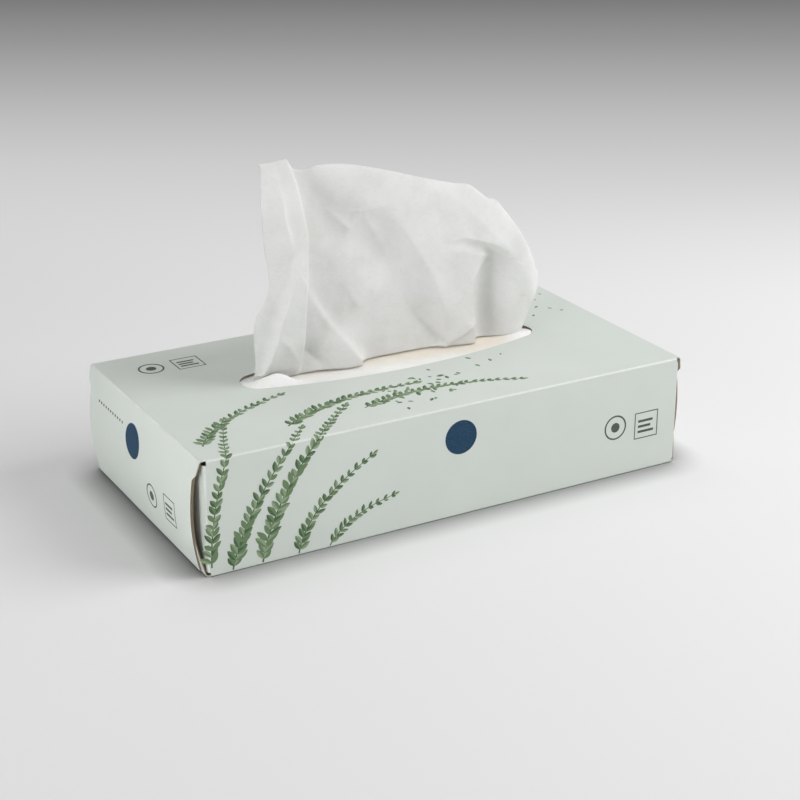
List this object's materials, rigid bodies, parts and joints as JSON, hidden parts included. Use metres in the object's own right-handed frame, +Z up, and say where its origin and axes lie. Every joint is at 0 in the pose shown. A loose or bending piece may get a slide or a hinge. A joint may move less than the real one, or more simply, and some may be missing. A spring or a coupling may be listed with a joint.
{
  "type": "tissue box",
  "caption": "Flat folded carton of facial tissues with an oval mouth in its top, glued bowed end flaps and one tissue drawn up through the mouth.",
  "frame": {"origin": "middle of the carton's base, on the surface it stands on", "axes": "+Z up, +X along the carton, the long front panel faces -Y"},
  "size_m": [0.236, 0.121, 0.1446],
  "materials": {
    "board": "satin",
    "tissue": "matte"
  },
  "bodies": {
    "root": {"carton": "board", "tissue_stack": "tissue", "next_tissue": "tissue", "raised_tissue": "tissue"}
  },
  "joints": []
}
